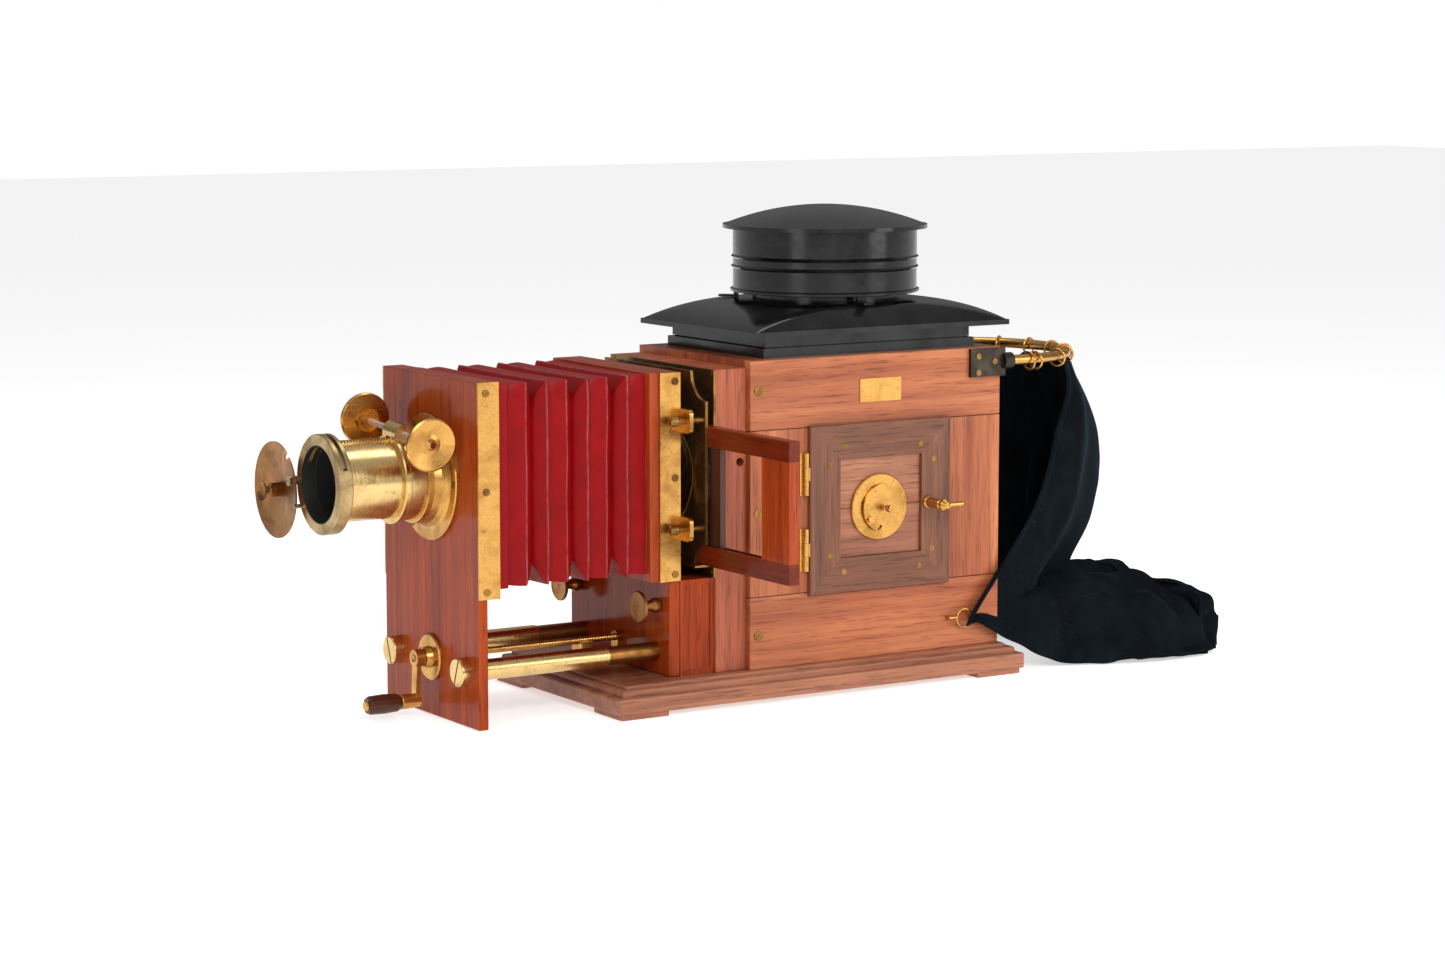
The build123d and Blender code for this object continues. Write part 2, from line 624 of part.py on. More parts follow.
def flasher():
    """Dished disc that swings in its own plane about a stud on the hood ring."""
    face, sheet, dish = -334.6, 1.2, 3.4
    profile = ((face, FLASHER_R), (face + dish, 6.5), (face + dish, 0), (face + dish + sheet, 0),
               (face + dish + sheet, 6.5), (face + sheet, FLASHER_R))
    disc = turned(profile)
    # The pivot lies at -X' of the disc's own frame; the notch takes the stop pin when closed.
    disc -= rod_x(-340, -320, PIN_R + RUNNING, -PIVOT_OFFSET, 0)
    closed = STOP_ANGLE - 180.0 + 360.0
    lane = tube_x(-340, -320, STOP_DISTANCE + STOP_R + 0.4, STOP_DISTANCE - STOP_R - 0.4)
    wedge = Polyline((0, 0), polar(40, closed - 5), polar(40, closed + 30), close=True)
    lane &= extrude(Plane.YZ.offset(-340) * make_face(wedge), amount=20)
    disc -= Pos(0, -PIVOT_OFFSET, 0) * lane
    knob = ((face + dish, 0), (face + dish, 5.4), (-338.4, 5.4), (-338.4, 3.4), (-340.2, 2.6), (-341.4, 3.4),
            (-342.6, 2.6), (-344, 6.4), (-345.4, 7.8), (-346.4, 7.8), (-345.0, 4.0), (-344.4, 0))
    swing = Pos(0, PIVOT_OFFSET, LENS_Z) * Rot(FLASHER_REST, 0, 0) * Pos(0, PIVOT_OFFSET, 0)
    return {"flasher_disc": group([swing * disc, swing * turned(knob)])}


# ---- pinion ------------------------------------------------------------------------------------
def gear_outline(teeth, module):
    """Involute gear outline around the origin with a tooth on the vertical, slimmed for backlash."""
    pitch_r = teeth * module / 2
    base = pitch_r * math.cos(math.radians(20))
    outer, root = pitch_r + 0.85 * module, pitch_r - 1.2 * module
    half = math.pi / (2 * teeth) - 0.03
    inv_pitch = math.tan(math.radians(20)) - math.radians(20)
    flank = [(root, half + inv_pitch)]
    for i in range(5):
        r = base + (outer - base) * i / 4
        phi = math.acos(base / r)
        flank.append((r, half + inv_pitch - (math.tan(phi) - phi)))
    points = []
    for i in range(teeth):
        middle = 2 * math.pi * i / teeth
        for r, angle in flank:
            points.append((r * math.sin(middle - angle), r * math.cos(middle - angle)))
        for r, angle in reversed(flank):
            points.append((r * math.sin(middle + angle), r * math.cos(middle + angle)))
    return make_face(Polyline(*points, close=True))


def pinion():
    # At rest a tooth points straight down into the rack's gap.
    gear = extrude(Plane.XZ * gear_outline(PINION_TEETH, RACK_MODULE), amount=3.2, both=True)
    gear -= rod_y(-5, 5, PIN_R)
    shaft = group([gear, rod_y(-52, 52, PIN_R)])
    knobs = []
    for side, facing in SIDES:
        knobs.append(Pos(0, side * 46.0, 0) * facing * knob_turning())
    placed = Pos(PINION_X, 0, PINION_H)
    return {
        "pinion_shaft": about_lens(placed * shaft),
        "pinion_knobs": about_lens(placed * group(knobs)),
    }


def knob_turning():
    """Large dished focusing knob standing outwards along +Z."""
    profile = ((0, PIN_R), (0, 6.0), (2.5, 6.6), (2.5, 9.0), (6.0, 9.6), (7.2, 19.4), (8.4, 20.3), (10.2, 20.3),
               (11.0, 19.0), (8.6, 8.0), (9.4, 4.6), (11.6, 2.6), (12.0, PIN_R))
    shell = Rot(0, -90, 0) * turned(profile)
    return shell


# ---- door --------------------------------------------------------------------------------------
def door():
    x0, x1, z0, z1 = DOOR
    w = DOOR_FRAME_WIDTH
    lip = block(x0, x1, DOOR_FACE, -84.3, z0, z1)
    lip = chamfer(lip.edges().group_by(Axis.Y)[0], 0.9)
    ring = lip + block(64, 176, -84.4, -79, 59.2, 185.6)
    hole = block(x0 + w, x1 - w, -95, -75, z0 + w, z1 - w)
    ring -= hole + rod_y(-95, -75, 2.6 + RUNNING, *LATCH)
    pieces = []
    mid_x, mid_z = (x0 + x1) / 2, (z0 + z1) / 2
    corners = ((x0, z0), (x1, z0), (x1, z1), (x0, z1))
    reach = 1.6
    for i in range(4):
        (ax, az), (bx, bz) = corners[i], corners[(i + 1) % 4]
        a = (mid_x + (ax - mid_x) * reach, mid_z + (az - mid_z) * reach)
        b = (mid_x + (bx - mid_x) * reach, mid_z + (bz - mid_z) * reach)
        sector = make_face(Polyline((mid_x, mid_z), a, b, close=True))
        prism = Pos(0, -70, 0) * extrude(Plane.XZ * sector, amount=30)
        pieces.append(ring & prism)
    boards = []
    seam = 120.8
    for a, b in ((z0 + w, seam), (seam, z1 - w)):
        board = chamfer(block(x0 + w, x1 - w, -86.2, -80, a, b).edges().group_by(Axis.Y)[0], 0.4)
        boards.append(board - rod_y(-95, -75, 13.0, SPY_X, SPY_Z))
    return {"door_frame": group(pieces), "door_panel": group(boards), **door_fittings()}


HINGES = ((74.5, 108.0), (134.5, 168.0))
HINGE_R = 2.3


def door_fittings():
    fixed, moving = [], []
    for z0, z1 in HINGES:
        third = (z1 - z0) / 3
        leaf = rod_z(z0, z0 + third, HINGE_R, HINGE_X, HINGE_Y)
        leaf += rod_z(z1 - third, z1, HINGE_R, HINGE_X, HINGE_Y)
        plate = block(HINGE_X - 5.0, HINGE_X, -85.1, -84.0, z0, z1)
        plate -= rod_z(z0 + third, z1 - third, HINGE_R + 0.4, HINGE_X, HINGE_Y)
        leaf += plate + rod_z(z0, z1, 1.2, HINGE_X, HINGE_Y)
        fixed.append(leaf)
        a, b = z0 + third + 0.3, z1 - third - 0.3
        wing = rod_z(a, b, HINGE_R, HINGE_X, HINGE_Y) + block(HINGE_X, DOOR[0], -88.2, -87.0, a, b)
        moving.append(wing - rod_z(z0, z1, 1.2 + RUNNING, HINGE_X, HINGE_Y))
    heads = []
    for x, z in ((85.1, 171.4), (158.2, 169.3), (70.8, 157.2), (171.3, 156.1), (71.3, 85.7), (84.8, 71.6),
                 (157.2, 70.9), (169.8, 83.9)):
        heads.append(head_at(x, DOOR_FACE, z, NEAR, 2.3, 0.25, x + z))
    return {
        "door_hinge_plates": group(fixed),
        "door_hinge_leaves": group(moving),
        "door_screws": group(heads),
        **spyhole(),
        "door_latch": latch(),
    }


def spyhole():
    ring = rod_y(-88.9, -86.2, 26.5, SPY_X, SPY_Z)
    ring = chamfer(ring.edges().group_by(Axis.Y)[0], 0.6)
    ring += rod_y(-86.4, -79, 12.9, SPY_X, SPY_Z)
    ring -= rod_y(-95, -70, 9.5, SPY_X, SPY_Z)
    ring -= rod_y(-84.0, -70, 11.5, SPY_X, SPY_Z)
    for angle in (-90, 28, 150):
        x, z = polar(23.0, angle)
        ring += Pos(SPY_X + x, -88.9, SPY_Z + z) * NEAR * Rot(0, 0, angle) * slotted(1.9, 0.4)
    stud = rod_y(-92.6, -88, 2.0, *SPY_PIVOT) + rod_y(-93.4, -91.9, 2.9, *SPY_PIVOT)
    ring += stud
    glass = rod_y(-84.0, -81.5, 11.45, SPY_X, SPY_Z)
    cover = rod_y(-91.5, -89.6, 19.3, *SPY_COVER)
    cover -= rod_y(-95, -85, 2.0 + RUNNING, *SPY_PIVOT)
    cover -= Pos(117.5, -90, 104.6) * Rot(0, -50, 0) * Box(4.6, 6, 2.2)
    knob = ((0, 0), (0, 2.0), (-2.2, 1.6), (-3.0, 2.6), (-4.0, 1.7), (-5.4, 1.7), (-7.4, 3.0), (-9.4, 2.2),
            (-10, 0))
    button = Pos(SPY_COVER[0], -91.5, SPY_COVER[1]) * Rot(0, 0, 90) * turned(knob)
    return {"spyhole_ring": ring, "spyhole_glass": glass, "spyhole_cover": cover + button}


LATCH = (165.5, 121.6)


def latch():
    """Turn latch: spindle through the door stile with a bar handle outside."""
    x, z = LATCH
    stem = ((-89.4, 0), (-89.4, 5.4), (-91.0, 5.0), (-92.0, 3.9), (-107.5, 4.1), (-108.2, 3.2), (-109, 3.2),
            (-111, 5.4), (-113.4, 5.0), (-117, 2.4), (-118, 0))
    turned_stem = Pos(x, 0, z) * Rot(0, 0, 90) * turned(stem)
    spindle = rod_y(-90, -76.8, 2.6, x, z) + rod_y(-78.4, -76.8, 4.5, x, z)
    handle = rod_x(x, x + 16.5, 2.1, -113.0, z)
    return turned_stem + spindle + handle


# ---- thumb screws ------------------------------------------------------------------------------
THUMB_Y = 62.0
THUMB_Z = 55.0


def thumb_screws():
    profile = ((-62, 0), (-62, 3.0), (-69.5, 3.0), (-69.5, 4.6), (-71.5, 5.9), (-75, 5.9), (-78, 4.0), (-81, 3.6),
               (-85, 4.2), (-86, 11.0), (-87, 12.4), (-88.6, 12.4), (-89.2, 11.6), (-88.4, 0))
    return {
        "thumb_screw_near": turned_at(profile, -THUMB_Y, THUMB_Z),
        "thumb_screw_far": turned_at(profile, THUMB_Y, THUMB_Z),
    }


# ---- cowl --------------------------------------------------------------------------------------
def rounded_frame(x0, x1, half, z, radius):
    """A rounded rectangle drawn flat at height z."""
    shape = RectangleRounded(x1 - x0, 2 * half, radius)
    return Pos((x0 + x1) / 2, 0, z) * shape


def hood_loft(shrink, drop):
    sections = [
        rounded_frame(2 + shrink, 248 - shrink, 85 - shrink, 264 - drop, 4),
        rounded_frame(18 + shrink, 232 - shrink, 79 - shrink, 274 - drop, 30),
        rounded_frame(COWL_CENTRE - 70 + shrink, COWL_CENTRE + 70 - shrink, 70 - shrink, 281.5 - drop,
                      69 - shrink),
    ]
    return loft(sections)


def cowl():
    z = BODY_HEIGHT
    collar = block(20, 222, -72, 72, z, z + 7.6) - block(21.4, 220.6, -70.6, 70.6, z + 1.2, z + 20)
    collar += block(25, 217, -67.5, 67.5, z, z + 17.5)
    collar -= block(26.2, 215.8, -66.3, 66.3, z + 1.2, z + 20)
    collar -= block(THROAT[0], THROAT[1], -THROAT[2], THROAT[2], z - 1, z + 5)
    hood = hood_loft(0, 0) - hood_loft(1.2, 1.2)
    skirt = block(2, 248, -85, 85, 260.2, 264.2) - block(3.2, 246.8, -83.8, 83.8, 259, 266)
    skirt += block(23, 219, -69.5, 69.5, 251, 264.2) - block(24.2, 217.8, -68.3, 68.3, 250, 266)
    skirt += block(2.5, 247.5, -84.5, 84.5, 263.4, 264.4) - block(24.2, 217.8, -68.3, 68.3, 260, 266)
    hood = hood + skirt - rod_z(270, 290, 58.2, COWL_CENTRE)
    hood += rod_z(279.5, 300, 59.0, COWL_CENTRE) - rod_z(270, 310, 58.0, COWL_CENTRE)
    return {"cowl_collar": collar, "cowl_hood": hood, "cowl_drum": drum()}


def drum():
    """Ribbed drum on three feet, closed by a shallow domed cap."""
    bead = 1.4
    outline = ((287, DRUM_R), (287.6, DRUM_R + 2.0), (289.4, DRUM_R + 2.0), (290.5, DRUM_R), (306, DRUM_R),
               (307.5, DRUM_R + bead), (309, DRUM_R), (314, DRUM_R), (315.5, DRUM_R + bead), (317, DRUM_R),
               (338.6, DRUM_R), (338.6, DRUM_R - 1.2), (287, DRUM_R - 1.2))
    wall = Pos(COWL_CENTRE, 0, 0) * Rot(0, -90, 0) * turned(outline)
    parts = wall + cap()
    for angle in (20, 140, 260):
        foot = block(DRUM_R - 4, DRUM_R + 12, -4, 4, 281.7, 283.2)
        foot += block(DRUM_R - 4, DRUM_R - 0.6, -4, 4, 281.7, 292)
        parts += Pos(COWL_CENTRE, 0, 0) * Rot(0, 0, angle) * foot
    return parts


def cap():
    """Shallow spherical cap with a rolled rim, open below into the drum."""
    rim, rise, sheet, top = 82.0, 16.0, 1.2, 357.0
    radius = (rim ** 2 + rise ** 2) / (2 * rise)
    dome = Pos(COWL_CENTRE, 0, top - radius) * (Sphere(radius) - Sphere(radius - sheet))
    dome &= rod_z(top - rise - 0.8, top + 1, rim, COWL_CENTRE)
    ring = rod_z(338.4, 341.4, rim + 0.8, COWL_CENTRE) - rod_z(330, 350, DRUM_R - 1.2, COWL_CENTRE)
    return dome + ring


# ---- bellows -----------------------------------------------------------------------------------
def bellows():
    front = PANEL_X + PANEL_THICK + FRONT_FRAME_THICK + 0.2
    outer = block(front, REAR_FRAME_X - 0.2, -71, 71, 81, 236)
    return {"bellows": outer - block(front - 1, REAR_FRAME_X + 1, -59, 59, 95, 222)}


# ---- curtain and its rail ----------------------------------------------------------------------
def curtain_rail():
    brackets = []
    for side in (-1, 1):
        y0, y1 = sorted((side * HALF_BODY, side * (HALF_BODY + 3.5)))
        bracket = block(208.5, 242.7, y0, y1, 219, 242)
        bracket += rod_x(240.1, 249, 6.6, side * RAIL_BOW, RAIL_Z)
        brackets.append(bracket)
    path = Line((249, -RAIL_BOW), (RAIL_CENTRE, -RAIL_BOW))
    path += ThreePointArc((RAIL_CENTRE, -RAIL_BOW), (RAIL_CENTRE + RAIL_BOW, 0), (RAIL_CENTRE, RAIL_BOW))
    path += Line((RAIL_CENTRE, RAIL_BOW), (249, RAIL_BOW))
    section = Plane(origin=(249, -RAIL_BOW, 0), z_dir=(1, 0, 0)) * Circle(RAIL_R)
    rail = Pos(0, 0, RAIL_Z) * sweep(section, path=path)
    return {"rail_brackets": group(brackets), "curtain_rail": rail, "curtain_rings": rings()}


def rings():
    """Rings on the bow, and the tie ring with its hook low on the near side."""
    parts = []
    ring_r, wire = 6.8, 0.9
    drop = ring_r - wire - RAIL_R - 0.15
    for angle in (-86, -81, -60, -42, -28, -8, 12, 32, 52, 72, 84):
        x, y = polar(RAIL_BOW, angle)
        place = Pos(RAIL_CENTRE + x, y, RAIL_Z - drop) * Rot(0, 0, angle) * Rot(90, 0, 0)
        parts.append(place * Torus(ring_r, wire))
    y = -HALF_BODY
    hook = rod_y(y - 5.2, y, 1.3, 188.5, 25.0) + rod_x(187.2, 194.6, 1.2, y - 5.0, 25.0)
    parts.append(hook)
    parts.append(Pos(202.6, y - 5.0, 24.0) * Rot(90, 0, 0) * Torus(7.3, 0.9))
    return group(parts)


def curtain():
    """Velvet light curtain hung round the bow, its hem gathered on the ground behind."""
    inner, outer, top, hem = RAIL_BOW - 2.0, RAIL_BOW + 9.0, RAIL_Z - 10.5, 4.0
    wall = rod_z(hem, top, outer, RAIL_CENTRE) - rod_z(hem - 1, top + 1, inner, RAIL_CENTRE)
    wall &= block(BODY_LENGTH + 4, 400, -100, 100, 0, 240)
    floor = -MOULDING_THICK - SLAB_THICK - FOOT_THICK + 0.4
    pool_top, pool_length, pool_width = 56.0, 162.0, 170.0
    pool = Pos(365, -36, (floor + pool_top) / 2) * Box(pool_length, pool_width, pool_top - floor)
    pool = fillet(pool.edges(), 26)
    pool -= rod_z(floor - 5, 80, inner, RAIL_CENTRE)
    return {"curtain": wall + pool}


# ---- export ------------------------------------------------------------------------------------
def main():
    nodes = {}
    for build in (plinth, lamp_house, lining, burner, case_screws, blank_plate, condenser, stage, under_stage,
                  pressure_plate, carrier, focus_front, guide_tubes, crank, lens_mount, draw_tube, flasher,
                  pinion, door, thumb_screws, cowl, bellows, curtain_rail, curtain):
        nodes.update(build())
    os.makedirs("parts", exist_ok=True)
    for name, shape in nodes.items():
        export_step(ORIGIN_SHIFT * shape, f"parts/{name}.step")
    print(len(nodes), "nodes")


main()
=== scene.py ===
import math

import bpy
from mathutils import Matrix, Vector, noise


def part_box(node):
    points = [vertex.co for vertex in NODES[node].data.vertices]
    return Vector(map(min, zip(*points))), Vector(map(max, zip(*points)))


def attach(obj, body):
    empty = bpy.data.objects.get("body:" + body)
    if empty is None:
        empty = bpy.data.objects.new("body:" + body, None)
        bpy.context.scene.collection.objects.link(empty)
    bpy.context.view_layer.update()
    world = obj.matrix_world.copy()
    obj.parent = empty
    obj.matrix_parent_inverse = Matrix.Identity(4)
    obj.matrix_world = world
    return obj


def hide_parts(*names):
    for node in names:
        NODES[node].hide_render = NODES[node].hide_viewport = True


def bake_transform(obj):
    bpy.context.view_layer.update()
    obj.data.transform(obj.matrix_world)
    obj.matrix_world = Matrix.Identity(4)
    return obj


# Looks of a mahogany magic lantern on its CAD frame. Lengths are in metres in the row frame: the
# lens looks along -X, the open back with its curtain is at +X and the door is on the -Y side.

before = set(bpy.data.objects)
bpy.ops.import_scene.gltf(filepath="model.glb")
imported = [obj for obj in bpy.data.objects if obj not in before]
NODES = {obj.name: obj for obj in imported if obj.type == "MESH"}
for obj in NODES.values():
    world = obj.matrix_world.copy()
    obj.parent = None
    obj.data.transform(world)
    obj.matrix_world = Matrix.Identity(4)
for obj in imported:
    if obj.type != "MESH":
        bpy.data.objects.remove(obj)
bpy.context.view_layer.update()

FLOOR_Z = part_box("plinth_feet")[0][2]
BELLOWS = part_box("bellows")
HOUSE = (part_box("side_near")[0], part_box("side_far")[1])
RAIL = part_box("curtain_rail")
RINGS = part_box("curtain_rings")


# ---- node helpers ------------------------------------------------------------------------------
class Shader:
    """A material under construction: short calls that add nodes and return their output sockets."""

    def __init__(self, name):
        self.material = bpy.data.materials.new(name)
        self.material.use_nodes = True
        self.tree = self.material.node_tree
        self.bsdf = self.tree.nodes["Principled BSDF"]
        self.place = self.node("ShaderNodeTexCoord").outputs["Object"]

    def node(self, kind, **settings):
        made = self.tree.nodes.new(kind)
        for key, value in settings.items():
            setattr(made, key, value)
        return made

    def link(self, source, target):
        self.tree.links.new(source, target)

    def scaled(self, scale, source=None):
        made = self.node("ShaderNodeMapping")
        self.link(source or self.place, made.inputs["Vector"])
        made.inputs["Scale"].default_value = scale
        return made.outputs["Vector"]

    def noise(self, vector, scale=1.0, detail=4.0, roughness=0.55, distortion=0.0):
        made = self.node("ShaderNodeTexNoise")
        self.link(vector, made.inputs["Vector"])
        made.inputs["Scale"].default_value = scale
        made.inputs["Detail"].default_value = detail
        made.inputs["Roughness"].default_value = roughness
        made.inputs["Distortion"].default_value = distortion
        return made.outputs["Fac"]

    def cells(self, vector, scale, feature="F1"):
        made = self.node("ShaderNodeTexVoronoi", feature=feature)
        self.link(vector, made.inputs["Vector"])
        made.inputs["Scale"].default_value = scale
        return made.outputs["Distance"]

    def ramp(self, factor, stops):
        made = self.node("ShaderNodeValToRGB")
        self.link(factor, made.inputs["Fac"])
        band = made.color_ramp
        while len(band.elements) < len(stops):
            band.elements.new(0.5)
        for element, (at, colour) in zip(band.elements, stops):
            element.position = at
            element.color = (*colour, 1.0) if len(colour) == 3 else colour
        return made.outputs["Color"]

    def spread(self, factor, low, high, start=0.3, end=0.7):
        made = self.node("ShaderNodeMapRange")
        self.link(factor, made.inputs["Value"])
        made.inputs["From Min"].default_value = start
        made.inputs["From Max"].default_value = end
        made.inputs["To Min"].default_value = low
        made.inputs["To Max"].default_value = high
        return made.outputs["Result"]

    def math(self, operation, a, b):
        made = self.node("ShaderNodeMath", operation=operation)
        for socket, value in zip(made.inputs, (a, b)):
            if isinstance(value, (int, float)):
                socket.default_value = value
            else:
                self.link(value, socket)
        return made.outputs["Value"]

    def mix(self, factor, a, b, blend="MIX"):
        made = self.node("ShaderNodeMix", data_type="RGBA", blend_type=blend)
        for socket, value in ((made.inputs["Factor"], factor), (made.inputs["A"], a), (made.inputs["B"], b)):
            self.feed(socket, value)
        return made.outputs["Result"]

    def feed(self, socket, value):
        if isinstance(value, bpy.types.NodeSocket):
            self.link(value, socket)
        elif isinstance(value, tuple):
            socket.default_value = (*value, 1.0)[:4]
        else:
            socket.default_value = value

    def pick_vector(self, factor, a, b):
        made = self.node("ShaderNodeMix", data_type="VECTOR")
        self.link(factor, made.inputs["Factor"])
        self.link(a, made.inputs["A"])
        self.link(b, made.inputs["B"])
        return made.outputs["Result"]

    def axes(self):
        made = self.node("ShaderNodeSeparateXYZ")
        self.link(self.place, made.inputs["Vector"])
        return made.outputs

    def bump(self, height, strength, distance, below=None):
        made = self.node("ShaderNodeBump")
        self.link(height, made.inputs["Height"])
        made.inputs["Strength"].default_value = strength
        made.inputs["Distance"].default_value = distance
        if below is not None:
            self.link(below, made.inputs["Normal"])
        return made.outputs["Normal"]

    def finish(self, colour, roughness, normal=None, **constants):
        self.feed(self.bsdf.inputs["Base Color"], colour)
        self.feed(self.bsdf.inputs["Roughness"], roughness)
        if normal is not None:
            self.link(normal, self.bsdf.inputs["Normal"])
        for key, value in constants.items():
            self.bsdf.inputs[key.replace("_", " ")].default_value = value
        return self.material


# ---- wood --------------------------------------------------------------------------------------
GRAIN = {"x": (0.045, 1.0, 1.0), "y": (1.0, 0.045, 1.0), "z": (1.0, 1.0, 0.045)}


def wood(name, tones, grain="x", switch=None, other="z", gloss=0.35, shine=0.3, extra=None):
    """Polished open-pored wood. Where switch(shader) is 1 its grain runs along the other axis."""
    dark, middle, light = tones
    s = Shader(name)
    along = s.scaled(GRAIN[grain])
    if switch is not None:
        along = s.pick_vector(switch(s), along, s.scaled(GRAIN[other]))
    figure = s.noise(along, 110.0, 5.0, 0.6, 0.4)
    ribbon = s.noise(along, 26.0, 2.0, 0.5, 1.2)
    pores = s.noise(along, 620.0, 2.0, 0.7)
    cloud = s.noise(s.place, 9.0, 2.0)
    tone = s.math("ADD", s.math("MULTIPLY", figure, 0.62), s.math("MULTIPLY", ribbon, 0.38))
    colour = s.ramp(tone, [(0.3, dark), (0.5, middle), (0.68, light)])
    flecks = s.ramp(pores, [(0.34, (0.45, 0.36, 0.32)), (0.46, (1.0, 1.0, 1.0))])
    colour = s.mix(0.75, colour, flecks, "MULTIPLY")
    patches = s.ramp(cloud, [(0.3, (0.84, 0.8, 0.78)), (0.7, (1.08, 1.04, 1.0))])
    colour = s.mix(0.8, colour, patches, "MULTIPLY")
    if extra is not None:
        colour = extra(s, colour)
    rough = s.spread(cloud, gloss - 0.08, gloss + 0.14)
    normal = s.bump(pores, 0.2, 0.0003, s.bump(figure, 0.08, 0.0005))
    return s.finish(colour, rough, normal, Coat_Weight=0.12, Coat_Roughness=0.07, Specular_IOR_Level=shine)


def between(low, high, axis):
    """1 inside a band of one axis."""
    def make(s):
        value = s.axes()[axis]
        return s.math("MULTIPLY", s.math("GREATER_THAN", value, low), s.math("LESS_THAN", value, high))
    return make


def beyond(low, high, axis):
    """1 outside a band of one axis."""
    def make(s):
        return s.math("SUBTRACT", 1.0, between(low, high, axis)(s))
    return make


def mitred(middle):
    """1 in the upright members of a mitred frame around a middle point."""
    def make(s):
        x, _, z = s.axes()
        across = s.math("ABSOLUTE", s.math("SUBTRACT", x, middle[0]), 0.0)
        up = s.math("ABSOLUTE", s.math("SUBTRACT", z, middle[2]), 0.0)
        return s.math("GREATER_THAN", across, up)
    return make


def seams(levels):
    """Thin dark joint lines at the given heights."""
    def draw(s, colour):
        z = s.axes()[2]
        for level in levels:
            gap = s.math("ABSOLUTE", s.math("SUBTRACT", z, level), 0.0)
            colour = s.mix(s.math("LESS_THAN", gap, 0.00035), colour, (0.035, 0.012, 0.006))
        return colour
    return draw


def darker_outside(low, high, axis, tint):
    """Another, darker wood outside a band of one axis."""
    def draw(s, colour):
        return s.mix(beyond(low, high, axis)(s), colour, s.mix(1.0, colour, tint, "MULTIPLY"))
    return draw


MAHOGANY = ((0.25, 0.056, 0.019), (0.42, 0.122, 0.045), (0.58, 0.21, 0.085))
OILED = ((0.2, 0.04, 0.018), (0.37, 0.088, 0.036), (0.5, 0.15, 0.064))
VARNISHED = ((0.17, 0.018, 0.002), (0.32, 0.042, 0.005), (0.42, 0.07, 0.009))
FADED = ((0.19, 0.062, 0.032), (0.34, 0.13, 0.07), (0.46, 0.2, 0.11))
WALNUT = ((0.09, 0.032, 0.016), (0.18, 0.066, 0.033), (0.28, 0.115, 0.056))
DARK_WOOD = ((0.03, 0.008, 0.004), (0.06, 0.017, 0.008), (0.09, 0.026, 0.012))


# ---- metal, leather, glass ---------------------------------------------------------------------
def inside_tube(radius):
    """1 closer to the lens axis than a radius."""
    low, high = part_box("hood_ring")
    middle = (low[2] + high[2]) / 2

    def make(s):
        _, y, z = s.axes()
        up = s.math("SUBTRACT", z, middle)
        square = s.math("ADD", s.math("MULTIPLY", y, y), s.math("MULTIPLY", up, up))
        return s.math("LESS_THAN", square, radius ** 2)
    return make


def brass(name, bright, tarnish, share=0.5, rough=0.24, lathe=False, blacked=None):
    """Old lacquered brass: clear patches, brown bloom and fine scratches or lathe lines."""
    s = Shader(name)
    bloom = s.noise(s.place, 38.0, 6.0, 0.62, 0.6)
    spots = s.noise(s.place, 330.0, 3.0, 0.6)
    lines = (1400.0, 30.0, 30.0) if lathe else (60.0, 900.0, 900.0)
    scratches = s.noise(s.scaled(lines), 1.0, 3.0, 0.7, 0.3)
    aged = s.ramp(bloom, [(share - 0.16, tarnish), (share + 0.1, bright)])
    speckle = s.ramp(spots, [(0.3, (0.5, 0.36, 0.26)), (0.42, (1.0, 1.0, 1.0))])
    colour = s.mix(0.5, aged, speckle, "MULTIPLY")
    roughness = s.math("ADD", s.spread(bloom, rough + 0.16, rough), s.spread(scratches, -0.04, 0.07))
    normal = s.bump(scratches, 0.05, 0.0001, s.bump(bloom, 0.02, 0.0004))
    made = s.finish(colour, roughness, normal, Metallic=1.0)
    if blacked is not None:
        inner = blacked(s)
        s.feed(s.bsdf.inputs["Base Color"], s.mix(inner, colour, (0.006, 0.006, 0.006)))
        s.feed(s.bsdf.inputs["Metallic"], s.math("SUBTRACT", 1.0, inner))
        s.feed(s.bsdf.inputs["Roughness"], s.math("MAXIMUM", roughness, s.math("MULTIPLY", inner, 0.6)))
    return made


def japanned(name):
    """Stoved black japan over sheet iron, dusty and slightly rippled."""
    s = Shader(name)
    dust = s.noise(s.place, 22.0, 7.0, 0.65, 0.4)
    ripple = s.noise(s.place, 60.0, 2.0)
    colour = s.ramp(dust, [(0.42, (0.0025, 0.0025, 0.003)), (0.75, (0.012, 0.0115, 0.011))])
    normal = s.bump(ripple, 0.16, 0.0012, s.bump(s.noise(s.place, 700.0, 2.0), 0.03, 0.0001))
    return s.finish(colour, s.spread(dust, 0.1, 0.26), normal, Specular_IOR_Level=0.42)


def iron(name, tint=(0.05, 0.045, 0.042)):
    s = Shader(name)
    scale = s.noise(s.place, 45.0, 8.0, 0.7, 0.8)
    rust = tuple(c * k for c, k in zip(tint, (2.6, 1.5, 1.0)))
    colour = s.ramp(scale, [(0.4, tint), (0.72, rust)])
    return s.finish(colour, s.spread(scale, 0.45, 0.75), s.bump(scale, 0.3, 0.0006), Metallic=0.6)


def leather(name):
    """Glazed red skiver, pebbled, rubbed pale along the folds."""
    s = Shader(name)
    pebble = s.cells(s.place, 1100.0)
    mottled = s.noise(s.place, 55.0, 5.0, 0.6)
    wear = s.node("ShaderNodeAttribute", attribute_name="wear").outputs["Fac"]
    colour = s.ramp(mottled, [(0.3, (0.2, 0.001, 0.002)), (0.7, (0.27, 0.0016, 0.003))])
    rubbed = s.math("MULTIPLY", wear, s.spread(s.noise(s.place, 150.0, 5.0), 0.15, 0.95))
    colour = s.mix(rubbed, colour, (0.3, 0.12, 0.11))
    normal = s.bump(pebble, 0.2, 0.0002, s.bump(mottled, 0.08, 0.0006))
    return s.finish(colour, s.spread(mottled, 0.3, 0.42), normal, Specular_IOR_Level=0.12)


